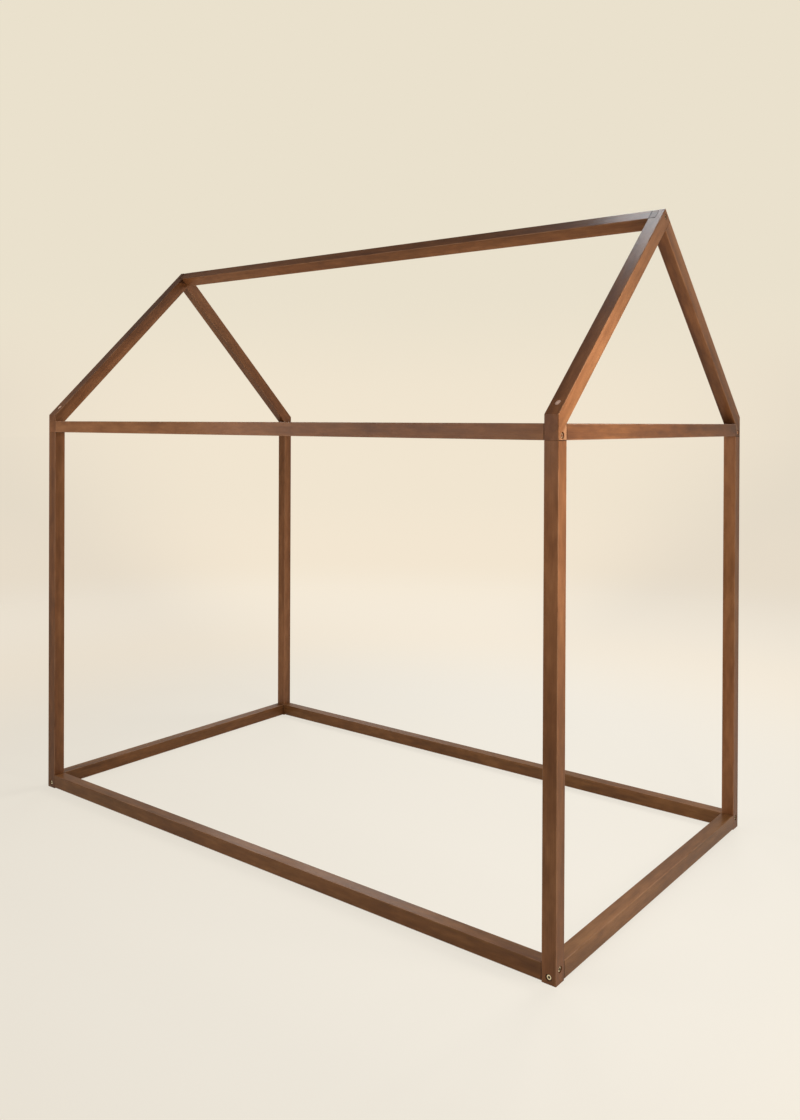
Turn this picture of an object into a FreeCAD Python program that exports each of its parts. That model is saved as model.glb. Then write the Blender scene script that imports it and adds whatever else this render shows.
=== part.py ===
import FreeCAD, Part
import math
import os
from FreeCAD import Vector

# House frame bed: four posts, a rectangle of bottom rails close to the floor, eave rails, and a
# timber gable on each pair of end posts, joined by a ridge beam that is turned to the roof's slope.
# Millimetres. +X runs along the bed, -Y is the front, +Z is up. The origin is on the floor, in the
# middle of the four posts.

# Overall sizes
frame_length = 2010.0        # outside of the posts, along X
frame_width = 1160.0         # outside of the posts, along Y
post_height = 1235.0         # floor to the joint under the gable
roof_pitch = 44.0            # degrees above level

# Timber sections
post_size = 38.0             # square post; every member that lies flush with it is as thick
bottom_rail_height = 42.0
bottom_rail_gap = 3.0        # floor to the underside of the bottom rails
eave_rail_height = 38.0      # eave rails and the gables' tie rails
rafter_depth = 42.0          # square to the slope
ridge_size = 38.0            # square beam
edge_ease = 1.5              # rounding along the timber
end_ease = 0.6               # chamfer round its ends

# Ridge beam ends, let into the front rafters
housing_depth = 20.0         # into the rafter, along X
housing_floor = 4.0          # least wood left under the housing
tongue_length = 18.0         # along X, short of the housing's end
tongue_drop = 0.8            # tongue's top below the rafter's outer face
tongue_side_gap = 3.5        # between the tongue's lower side and the housing

# Bolts, one size throughout
bolt_shank = 8.0             # diameter
bolt_length = 80.0           # under the head
bolt_head = 13.0             # diameter
bolt_head_height = 8.0
socket_width = 6.0           # hexagon, across flats
socket_depth = 4.5
bolt_chamfer = 0.8
bolt_hole = 8.5              # diameter
bolt_hole_spare = 4.0        # hole beyond the bolt's tip
counterbore = 16.0           # diameter
counterbore_depth = 10.0     # in posts and rafter feet
ridge_counterbore_depth = 8.5
top_counterbore = 14.0       # diameter, over the upright bolts

# Bolt places
end_bolt_rise = 13.0         # end rail bolt above the rail's underside
long_bolt_drop = 12.0        # long rail bolt below the rail's top
eave_bolt_rise = 11.0        # eave rail bolt above the post's top
top_bolt_inset = 9.0         # upright bolt from the post's inner Y face
bolt_spacing = 11.0          # upright bolt to eave rail bolt, along Y
top_bolt_seat = 45.0         # upright bolt's head seat above the post's top
ridge_bolt_drop = 22.0       # below the apex

# Cross nuts in the rails and the ridge, and threaded sleeves in the post tops
nut_diameter = 12.0
nut_length = 16.0
nut_from_tip = 12.0          # nut's axis back from the bolt's tip
nut_fit = 0.2                # spare diameter of a nut's or a sleeve's hole
nut_slot_width = 1.5
nut_slot_depth = 1.2
thread_fit = 0.2             # spare diameter between a shank and its nut or sleeve
sleeve_diameter = 11.0
sleeve_length = 25.0
sleeve_inset = 1.0           # sleeve below the post's top

# Dowels
dowel_diameter = 8.0         # bottom rails
small_dowel_diameter = 6.0   # gables, eave rails and post tops
dowel_length = 30.0
small_dowel_length = 24.0
dowel_chamfer = 1.0
dowel_fit = 0.2              # dowel hole's spare diameter
dowel_end_gap = 1.0          # hole beyond each end of a dowel
dowel_wall = 3.0             # wood between a dowel's hole and a crossing bolt's hole
small_dowel_depth = 10.0     # into the rafter foot
tie_dowel_inset = 7.0        # from the foot's X faces
tie_dowel_drop = 12.0        # below the tie rail's top
eave_dowel_drop = 11.0       # below the eave rail's top
top_dowel_inset = 7.0        # from the post's inner X face
apex_dowel_inset = 9.0       # from the gable's outer face
apex_dowel_edge = 9.5        # from the two ends of the apex joint

# Caps over the upright bolts
cap_fit = 0.2                # spare diameter in the counterbore
cap_recess = 1.8             # below the rafter's outer face
cap_gap = 2.0                # above the bolt's head

# Places worked out from the sizes
half_length = frame_length / 2
half_width = frame_width / 2
inner_x = half_length - post_size
inner_y = half_width - post_size
middle_x = half_length - post_size / 2
middle_y = half_width - post_size / 2
pitch = math.radians(roof_pitch)
rise = math.tan(pitch)
eave_top = post_height + eave_rail_height
foot_top = eave_top - post_size * rise + rafter_depth / math.cos(pitch)     # at the post's outer face
apex_height = foot_top + half_width * rise
bottom_rail_top = bottom_rail_gap + bottom_rail_height
end_bolt_height = bottom_rail_gap + end_bolt_rise
long_bolt_height = bottom_rail_top - long_bolt_drop
eave_bolt_height = post_height + eave_bolt_rise
top_bolt_y = inner_y + top_bolt_inset
eave_bolt_y = top_bolt_y + bolt_spacing
ridge_bolt_height = apex_height - ridge_bolt_drop
apex_cut = rafter_depth / math.sin(2 * pitch)      # a rafter's depth, cut along the other slope
apex_joint_end = rafter_depth * math.tan(pitch)    # lower end of the apex joint, down the front slope
tongue_depth = min(ridge_size, rafter_depth - housing_floor)
post_dowel_depth = post_size / 2 - bolt_hole / 2 - dowel_wall
through = 4 * rafter_depth   # for a cut that has to run clear of a member

ALONG_X = Vector(1, 0, 0)
ALONG_Y = Vector(0, 1, 0)
UP = Vector(0, 0, 1)
ORIGIN = Vector(0, 0, 0)


# Basic shapes

def bar(low, high):
    """A straight bar between two corners, rounded along its length and chamfered round its ends."""
    size = high - low
    box = Part.makeBox(size.x, size.y, size.z, low)
    half_bar = max(size) / 2
    rounded = box.makeFillet(edge_ease, [edge for edge in box.Edges if edge.Length > half_bar])
    return rounded.makeChamfer(end_ease, [edge for edge in rounded.Edges if edge.Length < half_bar])


def rod(start, direction, diameter, length):
    return Part.makeCylinder(diameter / 2, length, start, direction)


def placed(shape, start, direction):
    """A shape made along +Z, moved so that +Z lies along direction from start."""
    copy = shape.copy()
    copy.Placement = FreeCAD.Placement(start, FreeCAD.Rotation(UP, direction))
    return copy


def rims(cylinder):
    """The two round edges of a cylinder."""
    return [edge for edge in cylinder.Edges if isinstance(edge.Curve, Part.Circle)]


def mirror_x(shape):
    return shape.mirror(ORIGIN, ALONG_X)


def mirror_y(shape):
    return shape.mirror(ORIGIN, ALONG_Y)


def both_ends(shapes):
    return shapes + [mirror_x(shape) for shape in shapes]


def both_sides(shapes):
    return shapes + [mirror_y(shape) for shape in shapes]


def four_corners(shape):
    return both_sides(both_ends([shape]))


def slope_point(along, inward, x):
    """A point given down the front slope from the apex, and square into it."""
    y = -along * math.cos(pitch) + inward * math.sin(pitch)
    z = apex_height - along * math.sin(pitch) - inward * math.cos(pitch)
    return Vector(x, y, z)


def slope_block(along, inward, x_range):
    """A block whose sides follow the front slope: two distances each way and along X."""
    x = x_range[0]
    corners = [
        slope_point(along[0], inward[0], x),
        slope_point(along[1], inward[0], x),
        slope_point(along[1], inward[1], x),
        slope_point(along[0], inward[1], x),
    ]
    face = Part.Face(Part.makePolygon(corners + [corners[0]]))
    return face.extrude(Vector(x_range[1] - x, 0, 0))


INTO_SLOPE = slope_point(0, 1, 0) - slope_point(0, 0, 0)


# Hardware, each made along +Z and then placed

def make_bolt():
    """Socket-head bolt: the head's underside at the start, the shank along +Z."""
    head = rod(Vector(0, 0, -bolt_head_height), UP, bolt_head, bolt_head_height)
    head = head.makeChamfer(bolt_chamfer, rims(head))
    shank = rod(ORIGIN, UP, bolt_shank, bolt_length)
    shank = shank.makeChamfer(bolt_chamfer, [edge for edge in rims(shank) if edge.CenterOfMass.z > 0])
    corner_radius = socket_width / math.sqrt(3)
    corners = []
    for degrees in range(0, 420, 60):
        turn = math.radians(degrees)
        corner = Vector(corner_radius * math.cos(turn), corner_radius * math.sin(turn), -bolt_head_height)
        corners.append(corner)
    socket = Part.Face(Part.makePolygon(corners)).extrude(Vector(0, 0, socket_depth))
    return head.fuse(shank).removeSplitter().cut(socket)


def make_sleeve():
    """Threaded sleeve for a post's end grain."""
    return rod(ORIGIN, UP, sleeve_diameter, sleeve_length).cut(
        rod(ORIGIN, UP, bolt_shank + thread_fit, sleeve_length))


BOLT = make_bolt()
SLEEVE = make_sleeve()


def bolt_bore(seat, direction, counterbore_diameter):
    """Shank hole, and a counterbore that runs out past the face."""
    shank_hole = rod(seat, direction, bolt_hole, bolt_length + bolt_hole_spare)
    return [shank_hole, rod(seat, direction * -1, counterbore_diameter, through)]


def cross_nut(seat, direction, nut_axis):
    """Barrel nut near the bolt's tip, with a screwdriver slot in its open end."""
    centre = seat + direction * (bolt_length - nut_from_tip)
    start = centre - nut_axis * (nut_length / 2)
    nut = rod(start, nut_axis, nut_diameter, nut_length)
    thread = rod(centre - direction * nut_diameter, direction, bolt_shank + thread_fit, 2 * nut_diameter)
    slot = Part.makeBox(nut_diameter, nut_slot_width, nut_slot_depth,
                        Vector(-nut_diameter / 2, -nut_slot_width / 2, nut_length - nut_slot_depth))
    return nut.cut(thread).cut(placed(slot, start, nut_axis))


def nut_bore(seat, direction, nut_axis, open_length):
    """Hole for a cross nut, from its blind end out along nut_axis."""
    centre = seat + direction * (bolt_length - nut_from_tip)
    start = centre - nut_axis * (nut_length / 2)
    return rod(start, nut_axis, nut_diameter + nut_fit, open_length)


def dowel(joint, direction, depth, diameter, length):
    """A dowel that enters the first piece by depth, against direction, and the second along it."""
    peg = rod(joint - direction * depth, direction, diameter, length)
    return peg.makeChamfer(dowel_chamfer, rims(peg))


def dowel_bore(joint, direction, depth, diameter, length):
    start = joint - direction * (depth + dowel_end_gap)
    return rod(start, direction, diameter + dowel_fit, length + 2 * dowel_end_gap)


# The front right corner's bolts and dowels. The other corners are mirror images.
LONG_SEAT = Vector(half_length - counterbore_depth, -middle_y, long_bolt_height)
END_SEAT = Vector(middle_x, -(half_width - counterbore_depth), end_bolt_height)
EAVE_SEAT = Vector(half_length - counterbore_depth, -eave_bolt_y, eave_bolt_height)
TOP_SEAT = Vector(middle_x, -top_bolt_y, post_height + top_bolt_seat)
RIDGE_SEAT = Vector(half_length - ridge_counterbore_depth, 0, ridge_bolt_height)
INWARD_X = Vector(-1, 0, 0)
DOWN = Vector(0, 0, -1)

LONG_DOWEL = (Vector(inner_x, -middle_y, end_bolt_height), INWARD_X, post_dowel_depth,
              dowel_diameter, dowel_length)
END_DOWEL = (Vector(middle_x, -inner_y, long_bolt_height), ALONG_Y, post_dowel_depth,
             dowel_diameter, dowel_length)
EAVE_DOWEL = (Vector(inner_x, -eave_bolt_y, eave_top - eave_dowel_drop), INWARD_X, small_dowel_depth,
              small_dowel_diameter, small_dowel_length)
TOP_DOWEL = (Vector(inner_x + top_dowel_inset, -top_bolt_y, post_height), DOWN, small_dowel_length / 2,
             small_dowel_diameter, small_dowel_length)
TIE_DOWELS = [
    (Vector(x, -inner_y, eave_top - tie_dowel_drop), ALONG_Y, small_dowel_depth,
     small_dowel_diameter, small_dowel_length)
    for x in (inner_x + tie_dowel_inset, half_length - tie_dowel_inset)
]
APEX_DOWELS = [
    (slope_point(along, rafter_depth, half_length - apex_dowel_inset), INTO_SLOPE, small_dowel_length / 2,
     small_dowel_diameter, small_dowel_length)
    for along in (apex_dowel_edge, apex_joint_end - apex_dowel_edge)
]

LONG_BORE = bolt_bore(LONG_SEAT, INWARD_X, counterbore)
END_BORE = bolt_bore(END_SEAT, ALONG_Y, counterbore)
EAVE_BORE = bolt_bore(EAVE_SEAT, INWARD_X, counterbore)
RIDGE_BORE = bolt_bore(RIDGE_SEAT, INWARD_X, counterbore)
TOP_BORE = bolt_bore(TOP_SEAT, DOWN, top_counterbore)
LONG_NUT_BORE = nut_bore(LONG_SEAT, INWARD_X, DOWN, through)
END_NUT_BORE = nut_bore(END_SEAT, ALONG_Y, DOWN, through)
EAVE_NUT_BORE = nut_bore(EAVE_SEAT, INWARD_X, DOWN, through)
RIDGE_NUT_BORE = nut_bore(RIDGE_SEAT, INWARD_X, INTO_SLOPE, through)
SLEEVE_BORE = rod(Vector(middle_x, -top_bolt_y, post_height), DOWN, sleeve_diameter + nut_fit,
                  sleeve_inset + sleeve_length)


# Timber

def make_post():
    post = bar(Vector(inner_x, -half_width, 0), Vector(half_length, -inner_y, post_height))
    cuts = LONG_BORE + END_BORE + [TOP_BORE[0], SLEEVE_BORE]
    cuts += [dowel_bore(*place) for place in (LONG_DOWEL, END_DOWEL, TOP_DOWEL)]
    return post.cut(cuts)


def make_long_rail():
    rail = bar(Vector(-inner_x, -half_width, bottom_rail_gap), Vector(inner_x, -inner_y, bottom_rail_top))
    return rail.cut(both_ends([LONG_BORE[0], LONG_NUT_BORE, dowel_bore(*LONG_DOWEL)]))


def make_end_rail():
    rail = bar(Vector(inner_x, -inner_y, bottom_rail_gap), Vector(half_length, inner_y, bottom_rail_top))
    return rail.cut(both_sides([END_BORE[0], END_NUT_BORE, dowel_bore(*END_DOWEL)]))


def make_eave_rail():
    rail = bar(Vector(-inner_x, -half_width, post_height), Vector(inner_x, -inner_y, eave_top))
    return rail.cut(both_ends([EAVE_BORE[0], EAVE_NUT_BORE, dowel_bore(*EAVE_DOWEL)]))


def make_tie_rail():
    rail = bar(Vector(inner_x, -inner_y, post_height), Vector(half_length, inner_y, eave_top))
    return rail.cut(both_sides([dowel_bore(*place) for place in TIE_DOWELS]))


def make_rafter(top_corners):
    """A rafter with its foot, from its outline seen from the end, front side.

    The foot stands on the post. Its inner corner, where the rafter's underside leaves it, is level
    with the tie rail's top.
    """
    outline = [
        Vector(inner_x, -half_width, post_height),
        Vector(inner_x, -inner_y, post_height),
        Vector(inner_x, -inner_y, eave_top),
    ]
    outline += top_corners
    outline.append(Vector(inner_x, -half_width, foot_top))
    face = Part.Face(Part.makePolygon(outline + [outline[0]]))
    rafter = face.extrude(Vector(post_size, 0, 0))
    outline_edges = [edge for edge in rafter.Edges if edge.BoundBox.XLength < edge_ease]
    rafter = rafter.makeFillet(edge_ease, outline_edges)
    cuts = EAVE_BORE + TOP_BORE + [dowel_bore(*place) for place in [EAVE_DOWEL, TOP_DOWEL] + TIE_DOWELS]
    return rafter.cut(cuts)


def make_front_rafter():
    """Runs through at the apex, cut off flush with the back slope."""
    apex = Vector(inner_x, 0, apex_height)
    heel = apex + Vector(0, apex_cut * math.cos(pitch), -apex_cut * math.sin(pitch))
    rafter = make_rafter([heel, apex])
    housing = slope_block(
        (-through, ridge_size), (-through, tongue_depth), (inner_x - through, inner_x + housing_depth))
    cuts = [housing] + RIDGE_BORE + [dowel_bore(*place) for place in APEX_DOWELS]
    return rafter.cut(cuts)


def make_back_rafter():
    """Butts against the underside of the front rafter. Made at the front and mirrored."""
    inner_tip = Vector(inner_x, 0, eave_top + inner_y * rise)
    outer_tip = inner_tip + Vector(0, -apex_cut * math.cos(pitch), apex_cut * math.sin(pitch))
    rafter = make_rafter([inner_tip, outer_tip])
    return mirror_y(rafter).cut([dowel_bore(*place) for place in APEX_DOWELS])


def make_ridge():
    """Square beam, turned so that its upper front face lies in the front slope."""
    beam = slope_block((0, ridge_size), (0, ridge_size), (-inner_x, inner_x))
    long_edges = [edge for edge in beam.Edges if edge.Length > inner_x]
    beam = beam.makeFillet(edge_ease, long_edges)
    tongue = slope_block(
        (0, ridge_size - tongue_side_gap), (tongue_drop, tongue_depth), (inner_x, inner_x + tongue_length))
    beam = beam.fuse(both_ends([tongue]))
    return beam.cut(both_ends([RIDGE_BORE[0], RIDGE_NUT_BORE]))


def make_cap():
    """Cap over an upright bolt, its top cut to the slope."""
    base = TOP_SEAT + UP * (bolt_head_height + cap_gap)
    peg = rod(base, UP, top_counterbore - cap_fit, through)
    slope_length = half_width / math.cos(pitch)
    return peg.common(slope_block((0, slope_length), (cap_recess, through), (inner_x, half_length)))


post = make_post()
long_rail = make_long_rail()
end_rail = make_end_rail()
eave_rail = make_eave_rail()
tie_rail = make_tie_rail()
front_rafter = make_front_rafter()
back_rafter = make_back_rafter()

pieces = {
    "post_front_right": post,
    "post_front_left": mirror_x(post),
    "post_back_right": mirror_y(post),
    "post_back_left": mirror_y(mirror_x(post)),
    "bottom_rail_front": long_rail,
    "bottom_rail_back": mirror_y(long_rail),
    "bottom_rail_right": end_rail,
    "bottom_rail_left": mirror_x(end_rail),
    "eave_rail_front": eave_rail,
    "eave_rail_back": mirror_y(eave_rail),
    "tie_rail_right": tie_rail,
    "tie_rail_left": mirror_x(tie_rail),
    "rafter_front_right": front_rafter,
    "rafter_front_left": mirror_x(front_rafter),
    "rafter_back_right": back_rafter,
    "rafter_back_left": mirror_x(back_rafter),
    "ridge_beam": make_ridge(),
}

groups = {
    "long_rail_bolts": four_corners(placed(BOLT, LONG_SEAT, INWARD_X)),
    "end_rail_bolts": four_corners(placed(BOLT, END_SEAT, ALONG_Y)),
    "eave_rail_bolts": four_corners(placed(BOLT, EAVE_SEAT, INWARD_X)),
    "post_top_bolts": four_corners(placed(BOLT, TOP_SEAT, DOWN)),
    "ridge_bolts": both_ends([placed(BOLT, RIDGE_SEAT, INWARD_X)]),
    "long_rail_nuts": four_corners(cross_nut(LONG_SEAT, INWARD_X, DOWN)),
    "end_rail_nuts": four_corners(cross_nut(END_SEAT, ALONG_Y, DOWN)),
    "eave_rail_nuts": four_corners(cross_nut(EAVE_SEAT, INWARD_X, DOWN)),
    "ridge_nuts": both_ends([cross_nut(RIDGE_SEAT, INWARD_X, INTO_SLOPE)]),
    "post_top_sleeves": four_corners(
        placed(SLEEVE, Vector(middle_x, -top_bolt_y, post_height - sleeve_inset), DOWN)),
    "post_top_caps": four_corners(make_cap()),
    "long_rail_dowels": four_corners(dowel(*LONG_DOWEL)),
    "end_rail_dowels": four_corners(dowel(*END_DOWEL)),
    "eave_rail_dowels": four_corners(dowel(*EAVE_DOWEL)),
    "post_top_dowels": four_corners(dowel(*TOP_DOWEL)),
    "tie_rail_dowels": both_sides(both_ends([dowel(*place) for place in TIE_DOWELS])),
    "apex_dowels": both_ends([dowel(*place) for place in APEX_DOWELS]),
}

os.makedirs("parts", exist_ok=True)
for name, solid in pieces.items():
    solid.exportStep("parts/%s.step" % name)
for name, solids in groups.items():
    Part.makeCompound(solids).exportStep("parts/%s.step" % name)
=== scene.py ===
import math
import random

import bpy
from mathutils import Matrix, Vector


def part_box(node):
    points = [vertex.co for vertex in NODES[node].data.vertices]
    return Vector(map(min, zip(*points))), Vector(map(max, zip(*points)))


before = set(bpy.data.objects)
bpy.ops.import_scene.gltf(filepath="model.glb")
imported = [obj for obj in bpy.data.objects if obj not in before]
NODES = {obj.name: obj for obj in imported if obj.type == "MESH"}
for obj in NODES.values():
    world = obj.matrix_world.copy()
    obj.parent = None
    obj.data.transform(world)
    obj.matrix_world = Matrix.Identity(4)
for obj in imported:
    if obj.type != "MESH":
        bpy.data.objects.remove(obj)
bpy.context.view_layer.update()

# Finishes, studio and camera for the house frame bed. Metres, +X along the bed, -Y the front, +Z up.

ROOF_PITCH = math.radians(44)
RAFTER_DEPTH = 0.042         # square to the slope
RIDGE_HALF = 0.019           # half a side of the ridge beam
INNER_X = 0.967              # the posts' inner faces
INNER_Y = 0.542
POST_HEIGHT = 1.235
APEX_HEIGHT = 1.8548
HOUSING_END = 0.987          # end of the hollow in the rafter that holds the ridge beam's tongue
HOUSING_DROP = 0.045         # below the apex, where the painted shade in that hollow ends
TONGUE_LOW = -0.0155         # the tongue's lower side, across the ridge beam

FASTENERS = ("_bolts", "_nuts", "_sleeves", "_dowels", "_caps")


# Node trees

class Graph:
    """Builds a node tree: each call adds nodes and returns the socket or node that is wanted."""

    def __init__(self, tree):
        self.tree = tree
        tree.nodes.clear()

    def node(self, kind, values=None, **settings):
        node = self.tree.nodes.new(kind)
        for key, value in settings.items():
            setattr(node, key, value)
        for key, value in (values or {}).items():
            if isinstance(value, bpy.types.NodeSocket):
                self.tree.links.new(value, node.inputs[key])
            else:
                node.inputs[key].default_value = value
        return node

    def math(self, operation, *values):
        return self.node("ShaderNodeMath", dict(enumerate(values)), operation=operation).outputs[0]

    def total(self, start, *terms):
        """start plus each value times its share."""
        for value, share in terms:
            start = self.math("MULTIPLY_ADD", value, share, start)
        return start

    def vector(self, operation, *values):
        return self.node("ShaderNodeVectorMath", dict(enumerate(values)), operation=operation).outputs

    def dot(self, vector, other):
        return self.vector("DOT_PRODUCT", vector, other)["Value"]

    def axis(self, vector, letter):
        return self.node("ShaderNodeSeparateXYZ", {"Vector": vector}).outputs[letter]

    def noise(self, vector, factors, seed, detail, roughness):
        """Noise from 0 to 1, with its own frequency along each axis, in cycles a metre."""
        values = {"Vector": self.vector("MULTIPLY", vector, factors)["Vector"], "W": seed, "Scale": 1.0,
                  "Detail": detail, "Roughness": roughness}
        return self.node("ShaderNodeTexNoise", values, noise_dimensions="4D").outputs["Fac"]

    def step(self, value, start, end, low=0.0, high=1.0):
        """Smooth step of value from low at start to high at end."""
        values = {"Value": value, "From Min": start, "From Max": end, "To Min": low, "To Max": high}
        node = self.node("ShaderNodeMapRange", values, interpolation_type="SMOOTHSTEP")
        return node.outputs["Result"]

    def ramp(self, factor, stops):
        node = self.node("ShaderNodeValToRGB", {"Fac": factor})
        elements = node.color_ramp.elements
        while len(elements) < len(stops):
            elements.new(0.5)
        for element, (position, color) in zip(elements, stops):
            element.position = position
            element.color = (*color, 1.0)
        return node.outputs["Color"]

    def mix(self, factor, a, b, blend="MIX"):
        """Colour a at factor 0 and b at factor 1, each a socket or three channels."""
        node = self.node("ShaderNodeMix", {"Factor": factor}, data_type="RGBA", blend_type=blend)
        for key, value in (("A", a), ("B", b)):
            socket = [s for s in node.inputs if s.name == key and s.type == "RGBA"][0]
            if isinstance(value, bpy.types.NodeSocket):
                self.tree.links.new(value, socket)
            else:
                socket.default_value = (*value, 1.0)
        return [s for s in node.outputs if s.type == "RGBA"][0]

    def seen(self):
        """1 for what the camera sees directly, mirrored or through something, and 0 for light."""
        path = self.node("ShaderNodeLightPath").outputs
        seen = self.math("MAXIMUM", path["Is Camera Ray"], path["Is Glossy Ray"])
        return self.math("MAXIMUM", seen, path["Is Transmission Ray"])


def new_group(name, inputs, outputs):
    """An empty node group: its graph, its input sockets by name, and its output node."""
    tree = bpy.data.node_groups.new(name, "ShaderNodeTree")
    graph = Graph(tree)
    for key, kind in inputs:
        tree.interface.new_socket(name=key, in_out="INPUT", socket_type=kind)
    for key, kind in outputs:
        tree.interface.new_socket(name=key, in_out="OUTPUT", socket_type=kind)
    sockets = tree.nodes.new("NodeGroupInput").outputs
    return graph, sockets, tree.nodes.new("NodeGroupOutput")


def new_material(name):
    """An empty material and its graph."""
    material = bpy.data.materials.new(name)
    material.use_nodes = True
    return material, Graph(material.node_tree)


# Wood, solid all the way through: rings about a pith outside the timber, fibres along it

FLOAT, VECTOR, COLOR = "NodeSocketFloat", "NodeSocketVector", "NodeSocketColor"
WOOD_INPUTS = [
    ("Grain", VECTOR), ("Axis", VECTOR), ("Seed", FLOAT), ("Pith", VECTOR), ("Half Width", FLOAT),
    ("Half Depth", FLOAT), ("Shade", FLOAT), ("Face Shade", VECTOR), ("Olive", FLOAT), ("Joint Shade", FLOAT)]
WOOD_OUTPUTS = [("Color", COLOR), ("Roughness", FLOAT), ("Normal", VECTOR)]

# Cycles a metre along and across the grain, detail, roughness, and what is added to the seed
PATTERNS = {
    "blotch": (2.0, 11, 3.0, 0.6, 0.0),
    "mottle": (14, 55, 2.0, 0.6, 11.0),
    "streak": (3.5, 85, 1.0, 0.5, 0.0),
    "fibre": (22, 1300, 2.0, 0.6, 0.0),
    "fleck": (190, 1500, 1.0, 0.5, 0.0),
    "bend": (1.3, 9, 2.0, 0.5, 0.0),
    "drift": (3, 16, 2.0, 0.5, 23.0),
    "rub": (9, 60, 2.0, 0.6, 5.0),
}
RING_SPACING = 0.0046
RING_BEND = 0.02             # how far the rings wander, in metres
ARRIS = (0.0028, 0.0008)     # distances from an arris where its wear and painted highlight begin and are full
DRIFT_TINT = (0.94, 1.04, 0.98)
OLIVE_TINT = (0.93, 1.0, 0.88)
WOOD_ROUGHNESS = 0.38
WOOD_BUMP = 0.0003           # height of the grain, in metres


def wood_group(name, tones, joint_shade_tone, end_tone, worn_and_highlight_tone, contrast):
    """Colour, roughness and normal of one timber from its own coordinates: X along the grain."""
    graph, given, out = new_group(name, WOOD_INPUTS, WOOD_OUTPUTS)
    grain, joint = given["Grain"], given["Joint Shade"]

    def pattern(key):
        along, across, detail, roughness, shift = PATTERNS[key]
        seed = graph.math("ADD", given["Seed"], shift)
        return graph.noise(grain, (along, across, across), seed, detail, roughness)

    def centred(value):
        return graph.math("SUBTRACT", value, 0.5)

    normal = graph.node("ShaderNodeNewGeometry").outputs["Normal"]
    facing = graph.math("ABSOLUTE", graph.dot(normal, given["Axis"]))
    end_grain = graph.step(facing, 0.45, 0.95)
    lengthwise = graph.total(1.0, (end_grain, -0.65))
    blotch, mottle, streak, fibre = (pattern(key) for key in ("blotch", "mottle", "streak", "fibre"))
    fleck = graph.step(pattern("fleck"), 0.58, 0.7)

    # Growth rings
    from_pith = graph.vector("ADD", grain, given["Pith"])["Vector"]
    across = graph.vector("MULTIPLY", from_pith, (0, 1, 1))["Vector"]
    radius = graph.vector("LENGTH", across)["Value"]
    radius = graph.total(radius, (pattern("bend"), RING_BEND))
    ring = graph.math("FRACT", graph.math("DIVIDE", radius, RING_SPACING))
    late = graph.math("MULTIPLY", graph.step(ring, 0.2, 0.85), graph.step(ring, 1.0, 0.88))

    tone = graph.total(0.5, (centred(blotch), contrast), (centred(mottle), 0.75 * contrast))
    lines = graph.total(
        0.0, (centred(streak), 0.24 * contrast), (centred(fibre), 0.2 * contrast), (late, -0.05 * contrast))
    tone = graph.total(tone, (lines, lengthwise), (given["Shade"], 1.0))
    # Painted light and shade: the tone rises towards one face across the width and the depth
    for letter, half in (("Y", "Half Width"), ("Z", "Half Depth")):
        off_centre = graph.math("DIVIDE", graph.axis(grain, letter), given[half])
        tone = graph.total(tone, (off_centre, graph.axis(given["Face Shade"], letter)))
    color = graph.ramp(tone, list(zip((0.0, 0.5, 1.0), tones)))
    color = graph.mix(graph.math("MULTIPLY", fleck, 0.25), color, tones[0])

    # The stain's hue drifts a little between red and olive
    drift = graph.step(pattern("drift"), 0.3, 0.7, 0.0, 0.5 * contrast)
    color = graph.mix(drift, color, DRIFT_TINT, "MULTIPLY")
    color = graph.mix(given["Olive"], color, OLIVE_TINT, "MULTIPLY")

    # Arrises lighter where the stain is rubbed thin and as a painted highlight, and thirsty end grain
    from_side, from_face = (
        graph.math("SUBTRACT", given[half], graph.math("ABSOLUTE", graph.axis(grain, letter)))
        for letter, half in (("Y", "Half Width"), ("Z", "Half Depth")))
    from_arris = graph.math("MAXIMUM", from_side, from_face)
    worn_and_highlight = graph.math("MULTIPLY", graph.step(from_arris, *ARRIS), graph.step(pattern("rub"), 0.3, 0.62))
    color = graph.mix(graph.math("MULTIPLY", worn_and_highlight, 0.42), color, worn_and_highlight_tone)
    color = graph.mix(end_grain, color, end_tone, "MULTIPLY")

    # Painted shade in the gaps between parts, along the joints
    color = graph.mix(graph.math("MULTIPLY", joint, 0.8), color, joint_shade_tone)

    rough = graph.total(
        WOOD_ROUGHNESS, (streak, 0.12), (mottle, 0.08), (fleck, 0.08), (end_grain, 0.15), (joint, 0.3))
    height = graph.total(0.0, (fibre, 0.5), (fleck, -0.6), (late, 0.15), (streak, 0.4))
    bump = graph.node("ShaderNodeBump", {"Strength": 0.4, "Distance": WOOD_BUMP, "Height": height})

    for key, value in (("Color", color), ("Roughness", rough), ("Normal", bump.outputs["Normal"])):
        graph.tree.links.new(value, out.inputs[key])
    return graph.tree


# Dark, middle and light wood, and the colours of the painted shade in the joints, on end grain (a factor) and
# on the arrises (wear and a painted highlight)
STAINED = wood_group(
    "stained_wood",
    tones=[(0.085, 0.030, 0.012), (0.215, 0.083, 0.031), (0.37, 0.160, 0.068)],
    joint_shade_tone=(0.030, 0.011, 0.005), end_tone=(0.72, 0.66, 0.68), worn_and_highlight_tone=(0.44, 0.24, 0.135),
    contrast=1.0)
PLAIN = wood_group(
    "plain_wood",
    tones=[(0.60, 0.38, 0.28), (0.78, 0.52, 0.40), (0.87, 0.64, 0.52)],
    joint_shade_tone=(0.30, 0.17, 0.11), end_tone=(0.92, 0.88, 0.86), worn_and_highlight_tone=(0.80, 0.58, 0.46),
    contrast=0.7)


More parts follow.
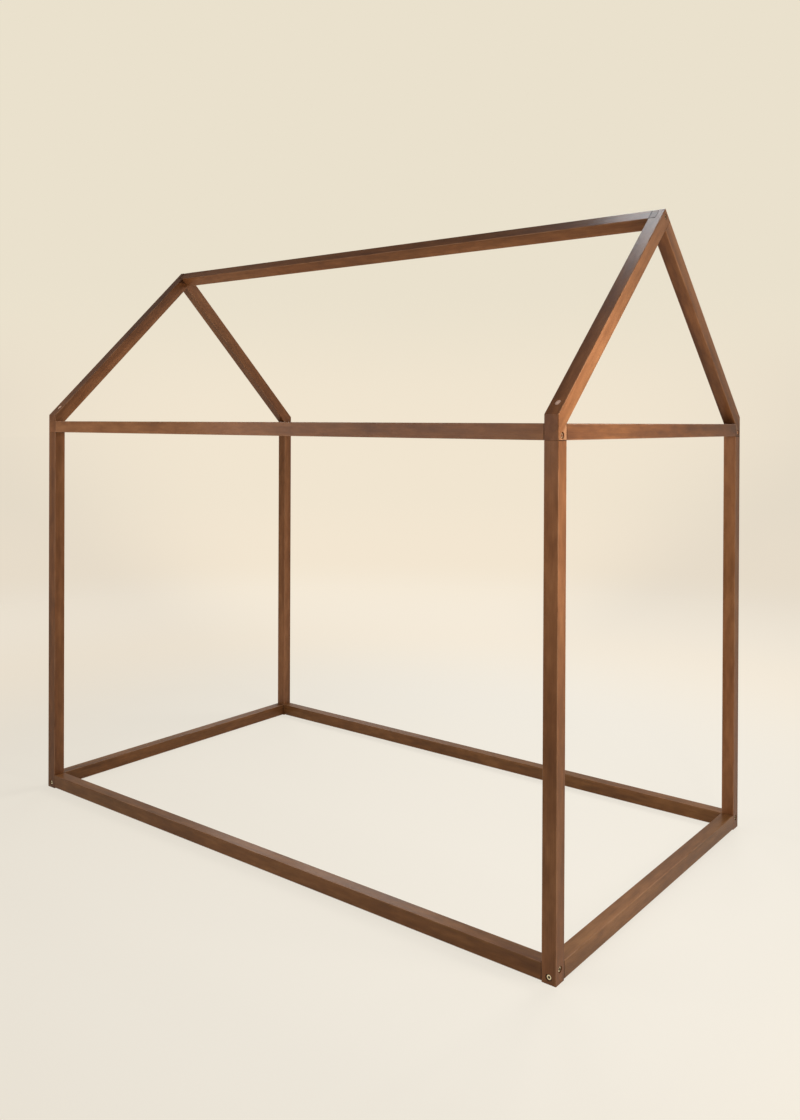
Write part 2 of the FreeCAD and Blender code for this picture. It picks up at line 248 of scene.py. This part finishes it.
# Painted light and shade across a timber: how much the tone rises towards one face, across its width and
# across its depth
PAINTED_FACE_SHADE = {
    "rafter_front_right": (-0.14, 0),
    "rafter_back_right": (0.24, 0.26),
    "rafter_front_left": (0, -0.12),
    "ridge_beam": (0, -0.07),
    "post_back_left": (0, -0.15),
    "post_back_right": (0, -0.08),
    "post_front_right": (0, -0.05),
    "post_front_left": (0, 0.12),
    "bottom_rail_left": (0.18, 0),
    "bottom_rail_right": (-0.08, 0.08),
    "eave_rail_front": (-0.14, 0),
}

# Timbers that are lighter or darker all over
SHADE = {
    "bottom_rail_right": 0.11,
    "tie_rail_right": -0.08,
    "post_back_left": 0.05,
    "bottom_rail_left": -0.04,
    "rafter_back_right": 0.03,
}
BOTTOM_OLIVE = 0.8           # how olive the stain is on the bottom rails


# The joints with painted shade: an axis, how far from the origin the joint planes lie along it, and how
# strong the painted shade is on the faces along the bed
LEVEL_JOINT = ((0, 0, 1), POST_HEIGHT, 0.0)
END_JOINTS = ((1, 0, 0), INNER_X, 0.7)
SIDE_JOINTS = ((0, 1, 0), INNER_Y, 1.0)
JOINT_LINE = (0.0022, 0.0008)     # distances from the plane where the painted shade begins and is full


def near_planes(graph, place, axis, distance, front):
    """1 close to the two joint planes, where shade is painted, and 0 away from them."""
    along = graph.math("ABSOLUTE", graph.dot(place, axis))
    gap = graph.math("ABSOLUTE", graph.math("SUBTRACT", along, distance))
    normal = graph.node("ShaderNodeNewGeometry").outputs["Normal"]
    long_side = graph.math("ABSOLUTE", graph.axis(normal, "Y"))
    return graph.math("MULTIPLY", graph.step(gap, *JOINT_LINE), graph.step(long_side, 0.5, 0.9, 1.0, front))


def tongue_gap_shade(graph, place, grain):
    """Painted shade: 1 on the sunk sides of the ridge beam's tongues, and a little on their tops."""
    along = graph.math("ABSOLUTE", graph.axis(place, "X"))
    beyond = graph.step(along, INNER_X, INNER_X + 0.0004)
    low_side = graph.step(graph.axis(grain, "Y"), TONGUE_LOW + 0.0012, TONGUE_LOW + 0.0004, 0.25)
    return graph.math("MULTIPLY", beyond, low_side)


def housing_shade(graph, place, grain):
    """Painted shade: 1 inside the housing that holds the ridge beam's tongue."""
    along = graph.math("ABSOLUTE", graph.axis(place, "X"))
    within = graph.step(along, HOUSING_END + 0.0006, HOUSING_END + 0.0002)
    low_end = APEX_HEIGHT - HOUSING_DROP
    near_apex = graph.step(graph.axis(place, "Z"), low_end, low_end + 0.005)
    outer_face = RAFTER_DEPTH / 2
    sunk = graph.step(graph.axis(grain, "Z"), outer_face - 0.0006, outer_face - 0.0012)
    return graph.math("MULTIPLY", graph.math("MULTIPLY", within, near_apex), sunk)


def wood_material(name, group, origin, axes, half_width, half_depth, draw, joint=None, sunk=None):
    """Wood for one timber. The axes are along the grain, across its width and across its depth."""
    material, graph = new_material(name)
    place = graph.node("ShaderNodeTexCoord").outputs["Object"]
    turn = Matrix(axes).transposed().to_euler()
    grain = graph.node("ShaderNodeMapping", {"Vector": place, "Location": origin, "Rotation": turn},
                       vector_type="TEXTURE").outputs["Vector"]
    pith_side = draw.uniform(0, 2 * math.pi)
    pith_away = draw.uniform(0.03, 0.06)
    wood = graph.node("ShaderNodeGroup", node_tree=group)
    graph.tree.links.new(grain, wood.inputs["Grain"])
    for key, value in (
            ("Axis", axes[0]),
            ("Seed", draw.uniform(0, 90)),
            ("Pith", (0, pith_away * math.cos(pith_side), pith_away * math.sin(pith_side))),
            ("Half Width", half_width),
            ("Half Depth", half_depth),
            ("Shade", draw.uniform(-0.05, 0.05) + SHADE.get(name, 0)),
            ("Face Shade", (0, *PAINTED_FACE_SHADE.get(name, (0, 0)))),
            ("Olive", BOTTOM_OLIVE if name.startswith("bottom_rail") else 0.0)):
        wood.inputs[key].default_value = value
    # Painted shade along the joints between parts
    if joint:
        dark = near_planes(graph, place, *joint)
        if sunk:
            dark = graph.math("MAXIMUM", dark, sunk(graph, place, grain))
        graph.tree.links.new(dark, wood.inputs["Joint Shade"])
    shader = graph.node("ShaderNodeBsdfPrincipled", {
        "Base Color": wood.outputs["Color"],
        "Roughness": wood.outputs["Roughness"],
        "Normal": wood.outputs["Normal"],
        "Specular IOR Level": 0.1,
        "Coat Weight": 0.2,
        "Coat Roughness": 0.22,
    })
    graph.node("ShaderNodeOutputMaterial", {"Surface": shader.outputs["BSDF"]})
    return material


def finish_node(name, material):
    """Gives a CAD node its material."""
    mesh = NODES[name].data
    mesh.materials.clear()
    mesh.materials.append(material)


# Axes of a piece: along the grain, across its width and across its depth
ALONG_X = (Vector((1, 0, 0)), Vector((0, 1, 0)), Vector((0, 0, 1)))
ALONG_Y = (Vector((0, 1, 0)), Vector((-1, 0, 0)), Vector((0, 0, 1)))
ALONG_Z = (Vector((0, 0, 1)), Vector((1, 0, 0)), Vector((0, 1, 0)))


def slope_axes(side):
    """A rafter's axes: side is -1 at the front and 1 at the back."""
    up_slope = Vector((0, -side * math.cos(ROOF_PITCH), math.sin(ROOF_PITCH)))
    along_bed = Vector((side, 0, 0))
    return up_slope, along_bed, up_slope.cross(along_bed)


def ridge_axes():
    """The ridge beam's axes: it is turned to the front slope."""
    along_bed, up_slope = ALONG_X[0], slope_axes(-1)[0]
    return along_bed, up_slope, along_bed.cross(up_slope)


def timber_material(name, draw):
    """Stained wood, laid out along a post, rafter, rail or the ridge beam."""
    low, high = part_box(name)
    centre = (low + high) / 2
    half = (high - low) / 2
    if name.startswith("post_"):
        return wood_material(name, STAINED, centre, ALONG_Z, half.x, half.y, draw, LEVEL_JOINT)
    if name.startswith("rafter_"):
        front = "front" in name
        axes = slope_axes(-1 if front else 1)
        origin = Vector((centre.x, 0, APEX_HEIGHT)) - axes[2] * RAFTER_DEPTH / 2
        return wood_material(name, STAINED, origin, axes, half.x, RAFTER_DEPTH / 2, draw, LEVEL_JOINT,
                             housing_shade if front else None)
    if name == "ridge_beam":
        axes = ridge_axes()
        origin = Vector((0, 0, APEX_HEIGHT)) - axes[1] * RIDGE_HALF - axes[2] * RIDGE_HALF
        return wood_material(name, STAINED, origin, axes, RIDGE_HALF, RIDGE_HALF, draw, END_JOINTS,
                             tongue_gap_shade)
    if name.endswith(("_front", "_back")):
        return wood_material(name, STAINED, centre, ALONG_X, half.y, half.z, draw, END_JOINTS)
    return wood_material(name, STAINED, centre, ALONG_Y, half.x, half.z, draw, SIDE_JOINTS)


draw = random.Random(11)
for name in sorted(NODES):
    if not name.endswith(FASTENERS):
        finish_node(name, timber_material(name, draw))


# Bolts, nuts, sleeves, caps and dowels

CREVICE_REACH = 0.007        # how far a neighbouring face darkens a hollow with painted shade


def metal_material(name, color, dark, roughness, hollow_shade=0.3):
    """Turned metal: a little tarnish in the colour, fine tool marks in the roughness, and painted shade in
    its
    hollows: the dark colour times the given factor."""
    material, graph = new_material(name)
    place = graph.node("ShaderNodeTexCoord").outputs["Object"]
    tarnish = graph.noise(place, (320, 320, 320), 1.0, 3.0, 0.6)
    marks = graph.noise(place, (2600, 2600, 2600), 2.0, 2.0, 0.6)
    tone = graph.mix(graph.step(tarnish, 0.35, 0.75), color, dark)
    # Painted shade in the bolts' sockets and round their heads
    open_air = graph.node("ShaderNodeAmbientOcclusion", {"Distance": CREVICE_REACH}, samples=8).outputs["AO"]
    hollow_shade_color = tuple(hollow_shade * channel for channel in dark)
    tone = graph.mix(graph.step(open_air, 0.85, 0.35), tone, hollow_shade_color)
    rough = graph.total(roughness - 0.09, (marks, 0.18), (tarnish, 0.12))
    bump = graph.node("ShaderNodeBump", {"Strength": 0.25, "Distance": 0.00005, "Height": marks})
    shader = graph.node("ShaderNodeBsdfPrincipled", {
        "Base Color": tone, "Roughness": rough, "Normal": bump.outputs["Normal"], "Metallic": 1.0})
    graph.node("ShaderNodeOutputMaterial", {"Surface": shader.outputs["BSDF"]})
    return material


PALE_BRASS = metal_material("pale_brass", (0.88, 0.76, 0.52), (0.66, 0.52, 0.30), 0.3)
BOLTS = {
    "long_rail_bolts": PALE_BRASS,
    "end_rail_bolts": PALE_BRASS,
    "post_top_bolts": PALE_BRASS,
    "eave_rail_bolts": metal_material("copper_brass", (0.94, 0.66, 0.44), (0.80, 0.52, 0.33), 0.45, 1.2),
    "ridge_bolts": metal_material("dark_brass", (0.50, 0.31, 0.17), (0.34, 0.19, 0.10), 0.4, 0.8),
}
ZINC = metal_material("zinc_steel", (0.62, 0.62, 0.60), (0.42, 0.42, 0.42), 0.38)
NO_ARRIS = 5.0               # a half width so large that round pieces get no worn arris


def plug_axes(name):
    """Which way the grain runs in a dowel or cap."""
    if "top" in name:
        return ALONG_Z
    if name.startswith(("long_rail", "eave_rail")):
        return ALONG_X
    return ALONG_Y


plain_draw = random.Random(5)
for name in sorted(NODES):
    if name.endswith("_bolts"):
        finish_node(name, BOLTS[name])
    elif name.endswith(("_nuts", "_sleeves")):
        finish_node(name, ZINC)
    elif name.endswith(("_dowels", "_caps")):
        middle = Vector((0, 0, 0))
        finish_node(name, wood_material(name, PLAIN, middle, plug_axes(name), NO_ARRIS, NO_ARRIS, plain_draw))


# Studio

def srgb(*channels):
    """Linear colour from 0-255 display values."""
    shares = [channel / 255 for channel in channels]
    return tuple(c / 12.92 if c <= 0.04045 else ((c + 0.055) / 1.055) ** 2.4 for c in shares)


# The floor from near to far, and the backdrop from low to high
FLOOR_NEAR = srgb(241, 236, 225)
FLOOR_MIDDLE = srgb(246, 236, 219)
FLOOR_FAR = srgb(243, 230, 209)
HORIZON = srgb(241, 229, 208)
WALL_HIGH = srgb(234, 225, 205)
CEILING = (0.10, 0.10, 0.11)
FLOOR_RADIUS = 80.0
FLOOR_BANDS = ((1.2, 2.8, FLOOR_MIDDLE), (3.0, 6.0, FLOOR_FAR), (6.0, 14.0, HORIZON))

# Level directions across and along the picture's line of sight
ACROSS_VIEW = (0.787, 0.616, 0.0)
ALONG_VIEW = (-0.616, 0.787, 0.0)
# Painted shade on the left of the floor near the bed and painted light on its right
LEFT_PAINTED_SHADE = (0.98, 0.965, 0.945)
RIGHT_PAINTED_LIGHT = (1.045, 1.04, 1.035)

# A painted glow on the backdrop behind the bed, with painted shade to its sides: cosines of the angle from
# the line of sight, where the glow begins and is full, and the shade outside it
GLOW_EDGE = (0.893, 0.989)
DIMMED = (0.89, 0.90, 0.92)

# What the finish mirrors instead of the backdrop, and the even light on everything
MIRRORED_LOW = (0.64, 0.61, 0.56)
MIRRORED_HIGH = (0.14, 0.14, 0.15)
AMBIENT = 0.12
AMBIENT_COLOR = (1.0, 0.97, 0.92, 1.0)


def floor_mesh():
    """A disc about the origin."""
    segments = 96
    verts = [(0, 0, 0)]
    for step in range(segments):
        turn = 2 * math.pi * step / segments
        verts.append((FLOOR_RADIUS * math.cos(turn), FLOOR_RADIUS * math.sin(turn), 0))
    faces = [(0, 1 + step, 1 + (step + 1) % segments) for step in range(segments)]
    mesh = bpy.data.meshes.new("floor")
    mesh.from_pydata(verts, [], faces)
    return mesh


def floor_material():
    """Pale paper that partly glows by itself, the more so the further away it is, with painted shade on its
    left, painted light on its right and painted shade to the sides of the glow behind the bed.
    """
    material, graph = new_material("floor")
    place = graph.node("ShaderNodeTexCoord").outputs["Object"]
    away = graph.vector("LENGTH", place)["Value"]
    color = FLOOR_NEAR
    for start, end, tone in FLOOR_BANDS:
        color = graph.mix(graph.step(away, start, end), color, tone)
    rightwards = graph.dot(place, ACROSS_VIEW)
    near = graph.mix(graph.step(rightwards, -1.6, 0.9), LEFT_PAINTED_SHADE, RIGHT_PAINTED_LIGHT)
    behind = graph.math("DIVIDE", graph.dot(place, ALONG_VIEW), away)
    far = graph.mix(graph.step(behind, *GLOW_EDGE), DIMMED, (1.0, 1.0, 1.0))
    color = graph.mix(1.0, color, graph.mix(graph.step(away, 1.5, 5.0), near, far), "MULTIPLY")
    paper = graph.node("ShaderNodeBsdfDiffuse", {"Color": color}).outputs["BSDF"]
    glow = graph.node("ShaderNodeEmission", {"Color": color}).outputs["Emission"]
    share = graph.math("MULTIPLY", graph.seen(), graph.step(away, 1.2, 4.5, 0.78, 1.0))
    shader = graph.node("ShaderNodeMixShader", {0: share, 1: paper, 2: glow})
    graph.node("ShaderNodeOutputMaterial", {"Surface": shader.outputs["Shader"]})
    return material


def make_floor():
    mesh = floor_mesh()
    mesh.materials.append(floor_material())
    floor = bpy.data.objects.new("floor", mesh)
    bpy.context.scene.collection.objects.link(floor)


def make_world():
    """A backdrop that is only seen, another that is only mirrored, and an even light."""
    world = bpy.data.worlds.new("studio")
    bpy.context.scene.world = world
    world.use_nodes = True
    graph = Graph(world.node_tree)
    direction = graph.node("ShaderNodeTexCoord").outputs["Generated"]
    height = graph.axis(direction, "Z")
    backdrop = graph.mix(graph.step(height, 0.0, 0.14), HORIZON, WALL_HIGH)
    glow_start, glow_full = GLOW_EDGE
    # Painted shade on the low backdrop to the sides of the line of sight
    aside = graph.step(graph.dot(direction, ALONG_VIEW), glow_full, glow_start)
    low = graph.step(height, 0.12, 0.0)
    backdrop = graph.mix(graph.math("MULTIPLY", aside, low), backdrop, DIMMED, "MULTIPLY")
    backdrop = graph.mix(graph.step(height, 0.42, 0.6), backdrop, CEILING)
    mirrored = graph.mix(graph.step(height, 0.25, 0.85), MIRRORED_LOW, MIRRORED_HIGH)
    glossy = graph.node("ShaderNodeLightPath").outputs["Is Glossy Ray"]
    backdrop = graph.mix(glossy, backdrop, mirrored)
    shown = graph.node("ShaderNodeBackground", {"Color": backdrop, "Strength": 1.0}).outputs[0]
    light = graph.node("ShaderNodeBackground", {"Color": AMBIENT_COLOR, "Strength": AMBIENT}).outputs[0]
    shader = graph.node("ShaderNodeMixShader", {0: graph.seen(), 1: light, 2: shown})
    graph.node("ShaderNodeOutputWorld", {"Surface": shader.outputs["Shader"]})


WARM = (1.0, 0.93, 0.84)
NEUTRAL = (1.0, 0.97, 0.94)
COOL = (0.92, 0.96, 1.0)

# Place, the point that it faces, width, height, watts, colour, and whether the finish mirrors it
SOFTBOXES = {
    "key": ((1.68, -0.42, 1.42), (1.0, -0.5, 1.35), 0.35, 0.35, 7.5, WARM, False),
    "near_front": ((1.3, -1.25, 1.3), (1.0, -0.55, 1.25), 0.3, 0.3, 1.9, NEUTRAL, False),
    "side_fill": ((2.3, -0.4, 0.95), (1.0, -0.25, 0.2), 0.7, 0.7, 8.5, WARM, False),
    "front_fill": ((-0.55, -1.75, 1.55), (-0.2, -0.6, 1.25), 1.6, 1.0, 14, NEUTRAL, True),
    "overhead": ((0.22, 0.45, 3.5), (0.9, 0.2, 1.5), 0.34, 0.34, 8, COOL, True),
    "back_high": ((0.6, 2.7, 3.3), (0.3, 0.0, 0.2), 1.6, 1.6, 74, NEUTRAL, True),
    "back_left": ((-2.6, 2.6, 2.2), (0.0, 0.0, 0.8), 1.6, 1.6, 22, NEUTRAL, True),
}


def make_softbox(name, place, aim, width, height, power, color, mirrored):
    light = bpy.data.lights.new(name, "AREA")
    light.shape = "RECTANGLE"
    light.size = width
    light.size_y = height
    light.energy = power
    light.color = color
    lamp = bpy.data.objects.new(name, light)
    lamp.location = place
    lamp.rotation_euler = (Vector(aim) - Vector(place)).to_track_quat("-Z", "Y").to_euler()
    lamp.visible_camera = False
    lamp.visible_glossy = mirrored
    bpy.context.scene.collection.objects.link(lamp)


# The photo's camera, fitted to the bed's edges: pixels, metres and degrees
PICTURE = (800, 1120)
FOCAL_LENGTH = 1004.2
OPTICAL_CENTRE = (402.2, 427.1)
CAMERA_PLACE = (2.12063, -2.57655, 1.2750)
HEADING = 38.055             # to the left of +Y
DIP = 0.287
ROLL = 0.24
SENSOR_WIDTH = 36.0          # millimetres, along the picture's longer side


def make_camera():
    width, height = PICTURE
    data = bpy.data.cameras.new("camera")
    data.sensor_width = SENSOR_WIDTH
    data.lens = FOCAL_LENGTH / height * SENSOR_WIDTH
    data.shift_x = (width / 2 - OPTICAL_CENTRE[0]) / height
    data.shift_y = (OPTICAL_CENTRE[1] - height / 2) / height
    camera = bpy.data.objects.new("camera", data)
    camera.location = CAMERA_PLACE
    heading = Matrix.Rotation(math.radians(HEADING), 4, "Z")
    tilt = Matrix.Rotation(math.radians(90 - DIP), 4, "X")
    roll = Matrix.Rotation(math.radians(ROLL), 4, "Z")
    camera.rotation_euler = (heading @ tilt @ roll).to_euler()
    bpy.context.scene.collection.objects.link(camera)
    bpy.context.scene.camera = camera


make_floor()
make_world()
for name, settings in SOFTBOXES.items():
    make_softbox(name, *settings)
make_camera()

bpy.context.scene.view_settings.view_transform = "Standard"
